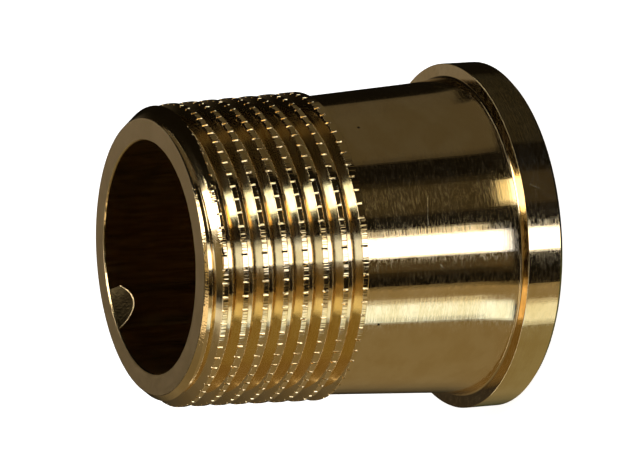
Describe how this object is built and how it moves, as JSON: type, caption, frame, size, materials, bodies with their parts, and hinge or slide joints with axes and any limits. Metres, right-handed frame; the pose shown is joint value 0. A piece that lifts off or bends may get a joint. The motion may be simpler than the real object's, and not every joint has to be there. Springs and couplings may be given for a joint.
{
  "type": "valve tailpiece",
  "caption": "Turned brass union tailpiece: taper pipe thread with notched crests at one end, conical barrel, plain collar with a flat sealing face at the other, open waterway through it.",
  "frame": {"origin": "centre of the flat sealing face on the collar, the face it stands on", "axes": "+Z along the waterway from the sealing face to the threaded mouth; -Y is the side the picture shows"},
  "size_m": [0.0302, 0.0302, 0.0321],
  "materials": {
    "brass": "turned and polished, satin at the mouth, fine brush lines round the axis"
  },
  "bodies": {
    "root": {"tailpiece": "brass"}
  },
  "joints": []
}
